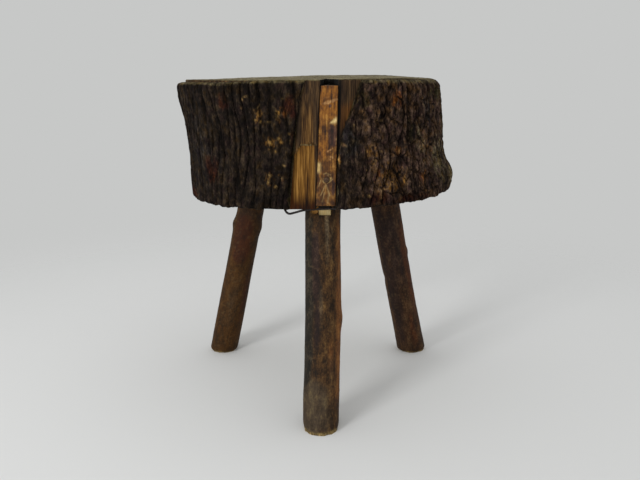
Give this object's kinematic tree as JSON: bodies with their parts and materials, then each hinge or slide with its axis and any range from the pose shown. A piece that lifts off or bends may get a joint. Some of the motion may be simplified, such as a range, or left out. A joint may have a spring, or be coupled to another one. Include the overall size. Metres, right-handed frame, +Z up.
{
  "type": "milking stool",
  "caption": "Low rustic stool: a slice of bark-covered tree trunk as the seat, standing on splayed branch legs that are driven into its underside.",
  "frame": {"origin": "on the floor, under the middle of the stool's bounding box", "axes": "+Z up, -Y towards the front with the filled split and the front leg, +X to the right seen from the front"},
  "size_m": [0.3036, 0.3094, 0.3514],
  "materials": {
    "weathered_oak": "weathered end grain, dull",
    "dry_bark": "rough furrowed bark, dull",
    "planed_strip": "split face, worn",
    "nail_steel": "tarnished",
    "annealed_iron_wire": "black oxide, dull",
    "front_branch": "peeled branch, grimy",
    "left_branch": "peeled branch, worn smooth",
    "right_branch": "branch with thin bark left on",
    "fresh_wedge": "freshly split, matt"
  },
  "bodies": {
    "root": {"trunk_slice": "weathered_oak", "bark": "dry_bark", "filler_strip": "planed_strip", "strip_nail": "nail_steel", "wire_staple": "annealed_iron_wire", "front_leg": "front_branch", "left_leg": "left_branch", "right_leg": "right_branch", "leg_wedge": "fresh_wedge"}
  },
  "joints": []
}
